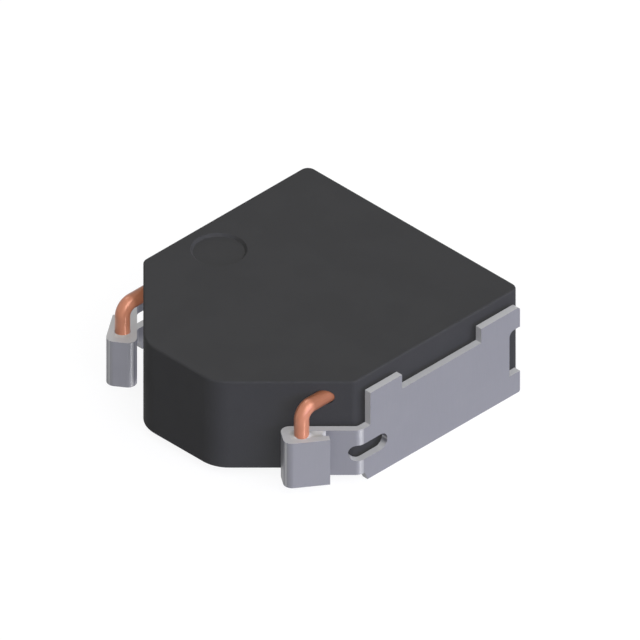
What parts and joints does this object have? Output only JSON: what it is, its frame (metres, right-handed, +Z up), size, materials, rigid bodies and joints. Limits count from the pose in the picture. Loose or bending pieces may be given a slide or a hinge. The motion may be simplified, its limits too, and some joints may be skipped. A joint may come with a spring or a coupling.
{
  "type": "shielded smd inductor",
  "caption": "Low square shielded power inductor for surface mounting: a dark ferrite block with a cut nose, bent sheet terminals on both sides, and copper wire ends held in soldered crimps.",
  "frame": {"origin": "centre of the part in plan, on the underside of the two feet, which is the board surface", "axes": "+Z up away from the board, +Y towards the plain back, so the cut nose with the wire ends faces -Y, and +X towards the right-hand terminal"},
  "size_m": [0.0106, 0.0108, 0.0037],
  "materials": {
    "shield": "fired ferrite, dark grey, matte with a fine grain",
    "ferrite": "ground ferrite, near black, satin",
    "copper_wire": "bare copper colour under a thin clear enamel, satin",
    "seal_resin": "dark cast epoxy, slightly glossy",
    "tinned_sheet": "matte tin plate on rolled sheet",
    "solder": "tin solder, smooth and slightly dull",
    "bond_resin": "cured adhesive, matte, brownish"
  },
  "bodies": {
    "root": {"shield_body": "shield", "drum_core": "ferrite", "winding": "copper_wire", "seal_ring": "seal_resin", "terminal_right": "tinned_sheet", "terminal_left": "tinned_sheet", "solder_right": "solder", "solder_left": "solder", "bond_right": "bond_resin", "bond_left": "bond_resin"}
  },
  "joints": []
}
